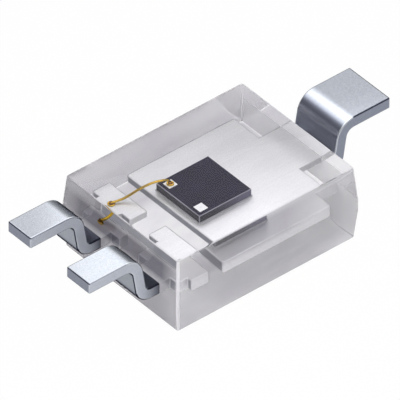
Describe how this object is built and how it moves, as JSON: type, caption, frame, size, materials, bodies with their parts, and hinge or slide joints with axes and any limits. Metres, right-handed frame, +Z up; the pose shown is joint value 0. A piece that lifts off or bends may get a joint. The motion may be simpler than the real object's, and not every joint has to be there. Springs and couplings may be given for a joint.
{
  "type": "ambient light sensor",
  "caption": "Clear surface-mount light sensor with reverse gull-wing leads: the chip, its bond wire and the lead frame show through a moulded epoxy block.",
  "frame": {"origin": "centre of the body's flat underside, which is also the bottom centre of the overall box", "axes": "+X along the body towards the wide lead, +Y across the body towards the wired lead's side, +Z up, the way the sensing side and the solder pads face"},
  "size_m": [0.0046, 0.002, 0.001],
  "materials": {
    "clear_epoxy": "clear moulded epoxy, polished",
    "lead_metal": "tin-plated copper alloy strip, satin; matte silver inside the body",
    "silver_adhesive": "silver-filled adhesive, matte",
    "silicon": "sawn silicon, dark, smooth",
    "filter_coating": "dark optical coating, smooth",
    "bond_pad_metal": "bright evaporated metal",
    "gold": "drawn gold, bright"
  },
  "bodies": {
    "root": {"encapsulation": "clear_epoxy", "die_pad_lead": "lead_metal", "wired_lead": "lead_metal", "spare_lead": "lead_metal", "die_attach": "silver_adhesive", "sensor_chip": "silicon", "chip_filter": "filter_coating", "wired_bond_pad": "bond_pad_metal", "spare_bond_pad": "bond_pad_metal", "bond_wire": "gold", "stud_bump": "gold"}
  },
  "joints": []
}
